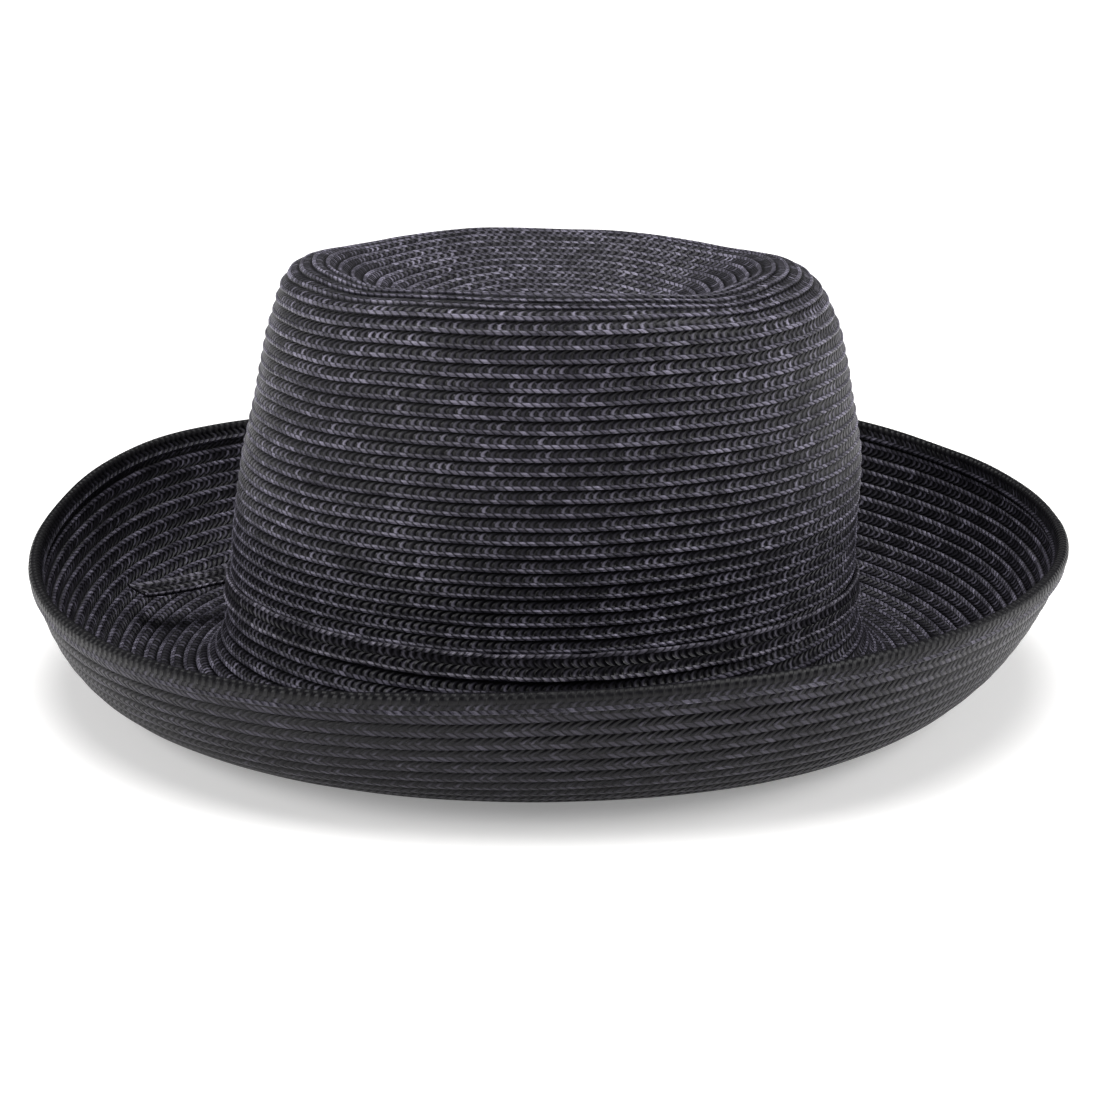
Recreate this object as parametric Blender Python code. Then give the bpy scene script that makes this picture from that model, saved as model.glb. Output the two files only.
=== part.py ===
"""Kettle brim hat sewn from a spiral of paper-straw braid: telescope crown, rolled brim, bound edge, braid band.

Metres, +Z up. The hat rests on the flat ring of its brim at z = 0. Its front is taken at -X and its back at +X.
The origin is the middle of the brim's plan, at the height that the hat rests on.
Every braided wall follows one middle surface, which runs from the rim over the brim, up the crown and down
into the dish of its top. The crown, the brim and the edge binding are cut from it, and the band lies on it.
"""
import bpy
import bmesh
import numpy as np

# Driving sizes, in metres
CROWN_LENGTH = 0.198        # front to back, outside, at the foot of the crown
CROWN_WIDTH = 0.169         # side to side, outside, at the foot of the crown
CROWN_HEIGHT = 0.129        # resting surface to the ridge round the crown's top
CROWN_SETBACK = -0.0024     # middle of the crown's foot, along X
CROWN_LEAN = 0.010          # the top stands higher at the front and lower at the back by this share
CROWN_TIP = 0.018           # fall of the crown's top across the hat, for each metre towards +Y
SIDE_DIP = 0.0019           # the rows dip this much at the two sides of the crown's foot
BRIM_LENGTH = 0.3195        # front to back, over the brim, to the fold of its edge
BRIM_WIDTH = 0.2925         # side to side, over the brim
BRIM_RISE = 0.0440          # mean height of the brim's edge over the resting surface
WALL = 0.0016               # one thickness of sewn braid
SEAM_HEIGHT = 0.027         # where the crown's first row meets the brim's last one, under the band
FIT_GAP = 0.0003            # clearance between pieces
EDGE_WALL = 0.001           # thickness of the braid folded over the rim
EDGE_OUTER_LEG = 0.0030     # how far the fold reaches down the outside
EDGE_INNER_LEG = 0.0034     # how far it reaches down the inside
BAND_WIDTH = 0.008
BAND_THICKNESS = 0.0015
BAND_FOOT = -0.003          # lower edge of the band, measured up the wall from the seam
BAND_FLARE = 0.0004         # the lower edge stands off the wall this much more, over the curve of the brim
BAND_START = 100.0          # degrees round the crown where the band begins
BAND_LIFT = 22.0            # degrees over which the band climbs onto its own start
BAND_OVERLAP = 14.0         # degrees that it then lies on itself
TAIL_REACH = 0.0930         # from the place where the tail leaves the crown to its tip, along X
TAIL_SWEEP = 0.0570         # the same across the hat
TAIL_DROP = 0.0120          # fall of the tail's middle line on the way
TAIL_EASE = 0.36            # share of the tail's span over which each end keeps its own heading
TAIL_SAG = 0.0066           # how far the tail's curve is drawn down where it leaves the crown
TAIL_END_HEADING = (0.90, 0.43, -0.03)      # direction from the tip back along the tail
TAIL_TILT = 14.0            # degrees that the tail's far edge stands above its near edge at the tip
TAIL_SLANT = 0.0040         # slope of the cut end, over the band's width

ROUND = 64                  # facets round the hat
BAND_STATIONS = 64          # sections of the band round the crown
TAIL_STATIONS = 16          # sections of its tail
FINE_STEPS = 120            # steps of the finely cut surface on which the edge and the band are placed

# Each row is one level of the crown: its height as a share of CROWN_HEIGHT, its reach to the front, to the
# back and to each side as shares of half the crown's length and width, and the fullness of its oval (2 is
# an ellipse). The ridge is the highest row, and the rows after it go down into the dish.
CROWN_COLUMNS = ("height", "front", "back", "side", "fullness")
CROWN_LEVELS = (
    (0.357, 0.974, 0.998, 0.952, 1.99),
    (0.535, 0.937, 1.003, 0.928, 2.10),
    (0.674, 0.892, 0.974, 0.909, 2.18),
    (0.830, 0.847, 0.932, 0.888, 2.27),
    (0.907, 0.815, 0.894, 0.877, 2.29),
    (0.950, 0.796, 0.862, 0.862, 2.29),
    (0.977, 0.772, 0.825, 0.832, 2.28),
    (0.992, 0.737, 0.785, 0.780, 2.25),
    (1.000, 0.697, 0.737, 0.722, 2.22),
    (0.997, 0.660, 0.695, 0.665, 2.22),
    (0.980, 0.620, 0.652, 0.590, 2.25),
    (0.948, 0.535, 0.565, 0.450, 2.25),
    (0.915, 0.430, 0.455, 0.300, 2.15),
    (0.890, 0.270, 0.285, 0.140, 2.00),
)
DISH_FLOOR = 0.884          # height of the middle of the dish, as a share of CROWN_HEIGHT
SEAM_LEVEL = (0.992, 0.999, 0.972, 1.90)    # front, back, side and fullness at the seam

# Each row is one ring of the brim, from the seam outwards: how far it has gone from the seam to the rim, and
# its height as a share of the seam's height plus a share of the rim's own height.
BRIM_COLUMNS = ("reach", "of_seam", "of_rim")
BRIM_RINGS = (
    (0.014, 0.780, 0.000),
    (0.034, 0.560, 0.000),
    (0.070, 0.340, 0.000),
    (0.125, 0.150, 0.000),
    (0.195, 0.040, 0.000),
    (0.260, 0.000, 0.000),
    (0.290, 0.000, 0.000),
    (0.410, 0.000, 0.000),
    (0.450, 0.000, 0.002),
    (0.560, 0.000, 0.035),
    (0.670, 0.000, 0.105),
    (0.775, 0.000, 0.225),
    (0.865, 0.000, 0.400),
    (0.935, 0.000, 0.620),
    (0.978, 0.000, 0.830),
)

# Each row is one direction round the rim, in degrees from +X: its reach as a share of the brim's oval, and
# its height as a share of BRIM_RISE. Flare is how far the wall there goes from the deep roll of BRIM_RINGS
# towards a straight slope. The brim dips at the front and on one side of it, and is flattest at the back.
RIM_COLUMNS = ("direction", "reach", "rise", "flare")
RIM_DIRECTIONS = (
    (0, 1.000, 1.02, 0.45),
    (30, 1.006, 1.06, 0.25),
    (60, 1.010, 1.13, 0.10),
    (90, 1.000, 1.10, 0.00),
    (120, 1.000, 1.08, 0.00),
    (150, 1.006, 1.12, 0.00),
    (180, 1.000, 0.94, 0.00),
    (210, 1.003, 0.84, 0.00),
    (240, 1.008, 0.87, 0.00),
    (270, 1.000, 0.97, 0.04),
    (300, 1.014, 1.03, 0.18),
    (330, 0.998, 1.02, 0.44),
)
SLOPE_START = 0.41          # where a wholly flared brim would begin its slope, as a share of its reach

# Each row is one soft dent in the crown's ridge: its direction in degrees, its spread in degrees, and its
# depth as a share of CROWN_HEIGHT.
DENT_COLUMNS = ("direction", "spread", "depth")
RIDGE_DENTS = (
    (40, 25, 0.020),
    (86, 10, 0.004),
    (143, 26, 0.020),
    (225, 15, 0.012),
    (312, 17, 0.016),
)
DENT_FADE = 12              # power of the height by which a dent fades down the wall and into the dish

BRAID_COLOUR = (0.012, 0.013, 0.020, 1.0)
BAND_COLOUR = (0.009, 0.010, 0.015, 1.0)
STRAW_ROUGHNESS = 0.6


def column(table, columns, name):
    """One named column of a table, as an array."""
    return np.array([row[columns.index(name)] for row in table], float)


def remove_everything():
    """Start from an empty scene."""
    for thing in list(bpy.data.objects):
        bpy.data.objects.remove(thing, do_unlink=True)


def oval(angles, front, back, side, fullness):
    """Plan of one ring of the crown: half-lengths front and back, half-width, fullness 2 for an ellipse."""
    cosine, sine = np.cos(angles), np.sin(angles)
    power = 2.0 / fullness
    along = np.sign(cosine) * np.abs(cosine) ** power
    across = np.sign(sine) * np.abs(sine) ** power
    return np.where(along < 0, front, back) * along, side * across


def crown_ring(angles, height, front, back, side, fullness):
    """One ring of the crown's middle surface, with the lean, the tip and the dip of its rows."""
    half_length = CROWN_LENGTH / 2 - WALL / 2
    half_width = CROWN_WIDTH / 2 - WALL / 2
    x, y = oval(angles, front * half_length, back * half_length, side * half_width, fullness)
    rise = height * (CROWN_HEIGHT - WALL / 2)
    lean = -CROWN_LEAN * height * rise * x / half_length
    tip = -CROWN_TIP * height * y
    dip = -SIDE_DIP * (1 - height) * np.sin(angles) ** 2
    dent = -CROWN_HEIGHT * height ** DENT_FADE * dents(angles)
    return np.stack([x + CROWN_SETBACK, y, rise + lean + tip + dip + dent], axis=-1)


def dents(angles):
    """Depth of the ridge's dents in each direction, as a share of the crown's height."""
    total = np.zeros_like(angles)
    for direction, spread, depth in RIDGE_DENTS:
        away = (np.degrees(angles) - direction + 180) % 360 - 180
        total += depth * np.exp(-(away / spread) ** 2)
    return total


def round_the_rim(angles, name):
    """A column of the rim's table, as a smooth closed curve through its directions."""
    directions = np.radians(column(RIM_DIRECTIONS, RIM_COLUMNS, "direction"))
    values = column(RIM_DIRECTIONS, RIM_COLUMNS, name)
    count = len(values)
    place = (angles % (2 * np.pi)) / (directions[1] - directions[0])
    first = np.floor(place).astype(int) % count
    return through(place - np.floor(place), *(values[(first + step) % count] for step in (-1, 0, 1, 2)))


def through(t, before, start, end, after):
    """Catmull-Rom curve from start to end."""
    return 0.5 * (2 * start + (end - before) * t + (2 * before - 5 * start + 4 * end - after) * t ** 2
                  + (3 * start - before - 3 * end + after) * t ** 3)


def rim_ring(angles):
    """The middle surface where it ends at the rim."""
    reach = round_the_rim(angles, "reach")
    x = BRIM_LENGTH / 2 * reach * np.cos(angles)
    y = BRIM_WIDTH / 2 * reach * np.sin(angles)
    return np.stack([x, y, BRIM_RISE * round_the_rim(angles, "rise")], axis=-1)


def control_rings(angles):
    """Every ring that shapes the hat, from the middle of the dish to the rim."""
    middle = crown_ring(angles, DISH_FLOOR, 0.0, 0.0, 0.0, 2.0)
    levels = [crown_ring(angles, *row) for row in reversed(CROWN_LEVELS)]
    seam = crown_ring(angles, SEAM_HEIGHT / CROWN_HEIGHT, *SEAM_LEVEL)
    rim = rim_ring(angles)
    flare = round_the_rim(angles, "flare")
    rings = []
    for reach, of_seam, of_rim in BRIM_RINGS:
        ring = seam + (rim - seam) * reach
        slope = max(reach - SLOPE_START, 0) / (1 - SLOPE_START)
        share = of_rim + (slope - of_rim) * flare * slope
        ring[..., 2] = WALL / 2 + of_seam * (seam[..., 2] - WALL / 2) + share * (rim[..., 2] - WALL / 2)
        rings.append(ring)
    return np.array([middle] + levels + [seam] + rings + [rim])


SEAM_RING = len(CROWN_LEVELS) + 1
RIM_RING = SEAM_RING + len(BRIM_RINGS) + 1


def surface(angles, places):
    """The middle surface at places counted in rings from the dish's middle; the result is [place, angle]."""
    rings = control_rings(angles)
    last = len(rings) - 1
    ahead = 2 * rings[0] - rings[1]
    beyond = 2 * rings[last] - rings[last - 1]
    padded = np.concatenate([ahead[None], rings, beyond[None]])
    result = []
    for place in places:
        first = min(int(place), last - 1)
        result.append(through(place - first, *padded[first:first + 4]))
    result = np.array(result)
    result[..., 2] = np.maximum(result[..., 2], WALL / 2)
    return result


def ring_angles(count):
    """Directions of the facets round the hat."""
    return np.arange(count) * 2 * np.pi / count


def normals(points):
    """Unit normals of a grid [along, round] that closes round the hat, pointing out of the crown."""
    along = np.gradient(points, axis=0)
    around = np.roll(points, -1, axis=1) - np.roll(points, 1, axis=1)
    across = np.cross(along, around)
    size = np.linalg.norm(across, axis=-1, keepdims=True)
    return across / np.maximum(size, 1e-12)


def distances(points):
    """Length along each section of a grid [along, round], measured from its first row."""
    steps = np.linalg.norm(np.diff(points, axis=0), axis=-1)
    return np.concatenate([np.zeros((1, points.shape[1])), np.cumsum(steps, axis=0)])


def walk(points, extra, wanted):
    """Points and extra vectors of a grid where each section has run the wanted lengths, one row for each."""
    run = distances(points)
    place, other = [], []
    for length in wanted:
        row, more = [], []
        for side in range(points.shape[1]):
            row.append([np.interp(length, run[:, side], points[:, side, axis]) for axis in range(3)])
            more.append([np.interp(length, run[:, side], extra[:, side, axis]) for axis in range(3)])
        place.append(row)
        other.append(more)
    other = np.array(other)
    return np.array(place), other / np.linalg.norm(other, axis=-1, keepdims=True)


def material(name, colour, roughness):
    """Plain finish of one piece."""
    made = bpy.data.materials.new(name)
    made.use_nodes = True
    shader = made.node_tree.nodes["Principled BSDF"]
    shader.inputs["Base Color"].default_value = colour
    shader.inputs["Roughness"].default_value = roughness
    shader.inputs["Metallic"].default_value = 0.0
    made.diffuse_color = colour
    return made


def add_object(name, verts, faces, finish, smooth_angle=50.0):
    """Make one node from its corners and faces, with its normals out."""
    mesh = bpy.data.meshes.new(name)
    mesh.from_pydata([tuple(map(float, corner)) for corner in verts], [], faces)
    build = bmesh.new()
    build.from_mesh(mesh)
    bmesh.ops.remove_doubles(build, verts=build.verts, dist=1e-6)
    bmesh.ops.triangulate(build, faces=[face for face in build.faces if len(face.verts) > 3])
    bmesh.ops.recalc_face_normals(build, faces=build.faces)
    build.to_mesh(mesh)
    build.free()
    mesh.shade_smooth()
    mesh.set_sharp_from_angle(angle=np.radians(smooth_angle))
    mesh.materials.append(finish)
    piece = bpy.data.objects.new(name, mesh)
    bpy.context.scene.collection.objects.link(piece)
    return piece


def loop_faces(rows, count, closed):
    """Quads of a grid [row, round] that closes round the hat, and from the last row to the first if closed."""
    faces = []
    for row in range(rows if closed else rows - 1):
        upper = (row + 1) % rows
        for side in range(count):
            following = (side + 1) % count
            faces.append((row * count + side, row * count + following,
                          upper * count + following, upper * count + side))
    return faces


def crown_places():
    """Places of the crown's rings: the dish and the shoulder finer than the straight wall."""
    ridge = SEAM_RING - 1 - int(np.argmax(column(CROWN_LEVELS, CROWN_COLUMNS, "height")))
    shoulder = np.arange(ridge - 1, ridge + 3, 0.5)
    dish = np.arange(0, ridge - 1)
    wall = np.arange(ridge + 3, SEAM_RING + 1)
    return np.concatenate([dish, shoulder, wall]).astype(float)


def make_crown(finish):
    """Crown: a hollow shell, open below, whose top is a shallow dish inside a rolled ridge."""
    angles = ring_angles(ROUND)
    middle = surface(angles, crown_places())
    out = normals(middle)
    middle[-1, :, 2] += FIT_GAP / 2
    outside = middle[1:] + out[1:] * WALL / 2
    inside = middle[1:] - out[1:] * WALL / 2
    rows = np.concatenate([outside, inside[::-1]])
    verts = list(rows.reshape(-1, 3))
    faces = loop_faces(len(rows), ROUND, False)
    pole = middle[0, 0]
    for first, height in ((0, WALL / 2), (len(verts) - ROUND, -WALL / 2)):
        verts.append(pole + np.array([0, 0, height]))
        faces += [(first + side, first + (side + 1) % ROUND, len(verts) - 1) for side in range(ROUND)]
    return add_object("crown", verts, faces, finish)


def make_brim(finish):
    """Brim: a collar under the crown, a flat ring that the hat rests on, and a wall that rolls up to the rim."""
    angles = ring_angles(ROUND)
    places = np.arange(SEAM_RING, RIM_RING + 1).astype(float)
    middle = surface(angles, places)
    out = normals(middle)
    middle[0, :, 2] -= FIT_GAP / 2
    last = middle[-1] - middle[-2]
    middle[-1] -= last / np.linalg.norm(last, axis=-1, keepdims=True) * FIT_GAP
    rows = np.concatenate([middle + out * WALL / 2, (middle - out * WALL / 2)[::-1]])
    return add_object("brim", list(rows.reshape(-1, 3)), loop_faces(len(rows), ROUND, True), finish)


def make_edge(finish):
    """Edge braid: the last braid of the brim, folded over the rim."""
    angles = ring_angles(ROUND)
    fine = surface(angles, np.linspace(RIM_RING, RIM_RING - 3, FINE_STEPS))
    out = -normals(fine)
    (rim, inner), (_, inner_out) = walk(fine, out, (0, EDGE_INNER_LEG))
    (_, outer), (_, outer_out) = walk(fine, out, (0, EDGE_OUTER_LEG))
    ahead = fine[0] - fine[1]
    ahead /= np.linalg.norm(ahead, axis=-1, keepdims=True)
    near = WALL / 2 + FIT_GAP
    far = near + EDGE_WALL
    rows = [inner + inner_out * far]
    rows += [rim + (out[0] * np.cos(turn) + ahead * np.sin(turn)) * far for turn in np.radians((0, 60, 120, 180))]
    rows += [outer - outer_out * far, outer - outer_out * near]
    rows += [rim - out[0] * near, rim + out[0] * near]
    rows += [inner + inner_out * near]
    rows = np.array(rows)
    return add_object("edge_braid", list(rows.reshape(-1, 3)), loop_faces(len(rows), ROUND, True), finish)


def wound_stations():
    """Angles of the band round the crown, and how far each stands off the wall for its second layer."""
    end = BAND_START + 360 + BAND_OVERLAP
    degrees = np.linspace(BAND_START, end, BAND_STATIONS)
    climb = np.clip((degrees - (BAND_START + 360 - BAND_LIFT)) / BAND_LIFT, 0, 1)
    return np.radians(degrees), (BAND_THICKNESS + FIT_GAP) * climb * climb * (3 - 2 * climb)


def band_path():
    """Middle line of the band, its direction across the width and its direction through the thickness."""
    angles, layer = wound_stations()
    fine = surface(angles, np.linspace(SEAM_RING + 3, SEAM_RING - 3, FINE_STEPS + 1))
    step = np.roll(fine, -1, axis=1) - np.roll(fine, 1, axis=1)
    step[:, 0] = fine[:, 1] - fine[:, 0]
    step[:, -1] = fine[:, -1] - fine[:, -2]
    out = np.cross(step, np.gradient(fine, axis=0))
    out /= np.linalg.norm(out, axis=-1, keepdims=True)
    at_seam = distances(fine)[FINE_STEPS // 2].mean()
    (foot, head), (face, _) = walk(fine, out, (at_seam + BAND_FOOT, at_seam + BAND_FOOT + BAND_WIDTH))
    foot = foot + face * BAND_FLARE
    across = head - foot
    across /= np.linalg.norm(across, axis=-1, keepdims=True)
    stand_off = WALL / 2 + FIT_GAP + BAND_THICKNESS / 2 + layer
    middle = (head + foot) / 2 + face * stand_off[:, None]
    return middle, across, face


def tail_path(start, across, face, heading):
    """The free end: it leaves the crown along its last heading, sinks and turns flat on the way to its tip."""
    t = np.linspace(0, 1, TAIL_STATIONS + 1)[1:, None]
    tip = start + np.array([-TAIL_REACH, -TAIL_SWEEP, -TAIL_DROP])
    length = np.linalg.norm(tip - start)
    leave = start + heading * length * TAIL_EASE - np.array([0, 0, TAIL_SAG])
    arrive = tip + np.array(TAIL_END_HEADING) * length * TAIL_EASE
    middle = ((1 - t) ** 3 * start + 3 * (1 - t) ** 2 * t * leave + 3 * (1 - t) * t ** 2 * arrive + t ** 3 * tip)
    ahead = np.gradient(np.concatenate([start[None], middle]), axis=0)[1:]
    ahead /= np.linalg.norm(ahead, axis=-1, keepdims=True)
    turn = np.radians(90 - TAIL_TILT) * (t * t * (3 - 2 * t))
    level = np.cross(ahead, (0.0, 0.0, 1.0))
    level /= np.linalg.norm(level, axis=-1, keepdims=True)
    upright = np.cross(level, ahead)
    lean = across * (1 - t) + upright * t
    width = lean * np.cos(turn) + level * np.sin(turn)
    width -= ahead * np.sum(width * ahead, axis=-1, keepdims=True)
    width /= np.linalg.norm(width, axis=-1, keepdims=True)
    through_it = np.cross(width, ahead)
    through_it *= np.sign(np.sum(through_it[0] * face))
    return middle, width, through_it


def make_band(finish):
    """Band: one strip of braid wound once round the crown's foot over its own start, with a free tail."""
    middle, across, face = band_path()
    heading = middle[-1] - middle[-2]
    heading /= np.linalg.norm(heading)
    tail, width, through_it = tail_path(middle[-1], across[-1], face[-1], heading)
    middle = np.concatenate([middle, tail])
    across = np.concatenate([across, width])
    face = np.concatenate([face, through_it])
    half_width, half_thick = BAND_WIDTH / 2, BAND_THICKNESS / 2
    corner = half_thick * 0.5
    outline = ((-half_width, -corner), (-half_width, corner), (corner - half_width, half_thick),
               (half_width - corner, half_thick), (half_width, corner), (half_width, -corner),
               (half_width - corner, -half_thick), (corner - half_width, -half_thick))
    stations = [[spot + wide * a + thick * b for a, b in outline]
                for spot, wide, thick in zip(middle, across, face)]
    stations = np.array(stations)
    ahead = middle[-1] - middle[-2]
    ahead /= np.linalg.norm(ahead)
    for index, (a, _) in enumerate(outline):
        stations[-1, index] += ahead * TAIL_SLANT * a / BAND_WIDTH
    sides = len(outline)
    faces = []
    for row in range(len(stations) - 1):
        for side in range(sides):
            following = (side + 1) % sides
            faces.append((row * sides + side, row * sides + following,
                          (row + 1) * sides + following, (row + 1) * sides + side))
    last = (len(stations) - 1) * sides
    faces.append(tuple(range(sides)))
    faces.append(tuple(last + side for side in range(sides)))
    return add_object("band", list(stations.reshape(-1, 3)), faces, finish)


def main():
    remove_everything()
    make_crown(material("crown_straw", BRAID_COLOUR, STRAW_ROUGHNESS))
    make_brim(material("brim_straw", BRAID_COLOUR, STRAW_ROUGHNESS))
    make_edge(material("edge_straw", BRAID_COLOUR, STRAW_ROUGHNESS))
    make_band(material("band_straw", BAND_COLOUR, STRAW_ROUGHNESS))


main()
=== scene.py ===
"""Looks of the kettle brim hat: its spiral of sewn straw braid, its band and tail, light and camera.

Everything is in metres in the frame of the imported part: the hat rests at z = 0, its front is at -X.
The middle surface and its tables are those of the part. The braid is laid on it as one spiral of lapped rows.
"""

import bmesh
import bpy
import numpy as np
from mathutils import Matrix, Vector


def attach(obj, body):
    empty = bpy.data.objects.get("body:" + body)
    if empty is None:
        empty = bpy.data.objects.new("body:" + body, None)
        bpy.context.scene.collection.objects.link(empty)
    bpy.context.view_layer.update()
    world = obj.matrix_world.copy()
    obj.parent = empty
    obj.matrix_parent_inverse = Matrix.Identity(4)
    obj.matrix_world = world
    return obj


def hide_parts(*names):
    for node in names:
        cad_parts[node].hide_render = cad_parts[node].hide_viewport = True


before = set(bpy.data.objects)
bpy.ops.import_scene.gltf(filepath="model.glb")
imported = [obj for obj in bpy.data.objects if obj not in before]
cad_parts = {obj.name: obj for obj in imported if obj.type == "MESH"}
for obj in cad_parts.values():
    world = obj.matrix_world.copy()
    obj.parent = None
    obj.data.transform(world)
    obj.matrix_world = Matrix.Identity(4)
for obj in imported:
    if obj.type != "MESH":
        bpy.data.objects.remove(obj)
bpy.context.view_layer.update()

# Sizes of the part, in metres and degrees
CROWN_LENGTH = 0.198
CROWN_WIDTH = 0.169
CROWN_HEIGHT = 0.129
CROWN_SETBACK = -0.0024
CROWN_LEAN = 0.010
CROWN_TIP = 0.018
SIDE_DIP = 0.0019
BRIM_LENGTH = 0.3195
BRIM_WIDTH = 0.2925
BRIM_RISE = 0.0440
WALL = 0.0016
SEAM_HEIGHT = 0.027
FIT_GAP = 0.0003
EDGE_WALL = 0.001
EDGE_OUTER_LEG = 0.0030
EDGE_INNER_LEG = 0.0034
BAND_WIDTH = 0.008
BAND_THICKNESS = 0.0015
BAND_FOOT = -0.003
BAND_FLARE = 0.0004
BAND_START = 100.0
BAND_LIFT = 22.0
BAND_OVERLAP = 14.0
TAIL_REACH = 0.0930
TAIL_SWEEP = 0.0570
TAIL_DROP = 0.0120
TAIL_EASE = 0.36
TAIL_SAG = 0.0066
TAIL_END_HEADING = (0.90, 0.43, -0.03)
TAIL_TILT = 14.0
TAIL_SLANT = 0.0040

# The crown's rings: height, front, back and side as shares of its sizes, and the fullness of its oval
CROWN_COLUMNS = ("height", "front", "back", "side", "fullness")
CROWN_LEVELS = (
    (0.357, 0.974, 0.998, 0.952, 1.99),
    (0.535, 0.937, 1.003, 0.928, 2.10),
    (0.674, 0.892, 0.974, 0.909, 2.18),
    (0.830, 0.847, 0.932, 0.888, 2.27),
    (0.907, 0.815, 0.894, 0.877, 2.29),
    (0.950, 0.796, 0.862, 0.862, 2.29),
    (0.977, 0.772, 0.825, 0.832, 2.28),
    (0.992, 0.737, 0.785, 0.780, 2.25),
    (1.000, 0.697, 0.737, 0.722, 2.22),
    (0.997, 0.660, 0.695, 0.665, 2.22),
    (0.980, 0.620, 0.652, 0.590, 2.25),
    (0.948, 0.535, 0.565, 0.450, 2.25),
    (0.915, 0.430, 0.455, 0.300, 2.15),
    (0.890, 0.270, 0.285, 0.140, 2.00),
)
DISH_FLOOR = 0.884
SEAM_LEVEL = (0.992, 0.999, 0.972, 1.90)

# The brim's rings: how far from the seam to the rim, and height as shares of the seam's and the rim's
BRIM_RINGS = (
    (0.014, 0.780, 0.000),
    (0.034, 0.560, 0.000),
    (0.070, 0.340, 0.000),
    (0.125, 0.150, 0.000),
    (0.195, 0.040, 0.000),
    (0.260, 0.000, 0.000),
    (0.290, 0.000, 0.000),
    (0.410, 0.000, 0.000),
    (0.450, 0.000, 0.002),
    (0.560, 0.000, 0.035),
    (0.670, 0.000, 0.105),
    (0.775, 0.000, 0.225),
    (0.865, 0.000, 0.400),
    (0.935, 0.000, 0.620),
    (0.978, 0.000, 0.830),
)

# The rim in each direction, in degrees from +X: reach and rise as shares, and how straight the wall slopes
RIM_COLUMNS = ("direction", "reach", "rise", "flare")
RIM_DIRECTIONS = (
    (0, 1.000, 1.02, 0.45),
    (30, 1.006, 1.06, 0.25),
    (60, 1.010, 1.13, 0.10),
    (90, 1.000, 1.10, 0.00),
    (120, 1.000, 1.08, 0.00),
    (150, 1.006, 1.12, 0.00),
    (180, 1.000, 0.94, 0.00),
    (210, 1.003, 0.84, 0.00),
    (240, 1.008, 0.87, 0.00),
    (270, 1.000, 0.97, 0.04),
    (300, 1.014, 1.03, 0.18),
    (330, 0.998, 1.02, 0.44),
)
SLOPE_START = 0.41

# Soft dents of the ridge: direction and spread in degrees, depth as a share of CROWN_HEIGHT
RIDGE_DENTS = (
    (40, 25, 0.020),
    (86, 10, 0.004),
    (143, 26, 0.020),
    (225, 15, 0.012),
    (312, 17, 0.016),
)
DENT_FADE = 12

RIDGE_RING = len(CROWN_LEVELS) - [row[0] for row in CROWN_LEVELS].index(1.0)
SEAM_RING = len(CROWN_LEVELS) + 1
RIM_RING = SEAM_RING + len(BRIM_RINGS) + 1

# The braid
MM = 0.001
WALL_ROW = 3.96 * MM        # what shows of each row on the crown
BRIM_ROW = 4.4 * MM         # what shows of each row on the brim
STITCH = 2.5 * MM           # length of one plait of the braid along its row
LAP = 0.75 * MM             # how far a row's free edge stands over the next row
BRAID_HALF = 0.35 * MM      # from the middle surface to the tucked edge of a row
NEAR_SIDE = 270             # direction, in degrees, in which the rows were counted in the photo
FINE_PLACES = 12            # steps of the fine surface between two rings of the tables
TABLE_ROWS = 240            # steps of the table that tells how far along the spiral a row has come
TABLE_DIRECTIONS = 361
TIP_ROWS = 3.3              # rows below the ridge that belong to the crown's tip
FLAT_ROWS = 0.52            # share of the brim's rows that lie flat
FADE_ROWS = 0.7             # rows at the middle of the tip over which the relief grows from nothing
ROW_WANDER = 0.035          # how far a row's edge wanders, in rows
RELIEF_WANDER = 0.10        # how much its relief differs from place to place
WELD = 0.002 * MM           # corners nearer than this are one
EDGE_COLUMNS = 900          # sections of the edge braid round the rim
EDGE_CREST = 0.75           # top of the fold, as a share of EDGE_WALL
BAND_SPACING = 0.7 * MM     # from one section of the band to the next
TAIL_END = 6 * MM           # length of the tail over which its cut grows slanted


def column(table, columns, name):
    """One named column of a table, as an array."""
    return np.array([row[columns.index(name)] for row in table], float)


def oval(angles, front, back, side, fullness):
    """Plan of one ring of the crown: half-lengths front and back, half-width, fullness 2 for an ellipse."""
    cosine, sine = np.cos(angles), np.sin(angles)
    power = 2.0 / fullness
    along = np.sign(cosine) * np.abs(cosine) ** power
    across = np.sign(sine) * np.abs(sine) ** power
    return np.where(along < 0, front, back) * along, side * across


def dents(angles):
    """Depth of the ridge's dents in each direction, as a share of the crown's height."""
    total = np.zeros_like(angles)
    for direction, spread, depth in RIDGE_DENTS:
        away = (np.degrees(angles) - direction + 180) % 360 - 180
        total += depth * np.exp(-(away / spread) ** 2)
    return total


def crown_ring(angles, height, front, back, side, fullness):
    """One ring of the crown's middle surface, with the lean, the tip and the dip of its rows."""
    half_length = CROWN_LENGTH / 2 - WALL / 2
    half_width = CROWN_WIDTH / 2 - WALL / 2
    x, y = oval(angles, front * half_length, back * half_length, side * half_width, fullness)
    rise = height * (CROWN_HEIGHT - WALL / 2)
    lean = -CROWN_LEAN * height * rise * x / half_length
    tip = -CROWN_TIP * height * y
    dip = -SIDE_DIP * (1 - height) * np.sin(angles) ** 2
    dent = -CROWN_HEIGHT * height ** DENT_FADE * dents(angles)
    return np.stack([x + CROWN_SETBACK, y, rise + lean + tip + dip + dent], axis=-1)


def through(t, before, start, end, after):
    """Catmull-Rom curve from start to end."""
    return 0.5 * (2 * start + (end - before) * t + (2 * before - 5 * start + 4 * end - after) * t ** 2
                  + (3 * start - before - 3 * end + after) * t ** 3)


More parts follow.
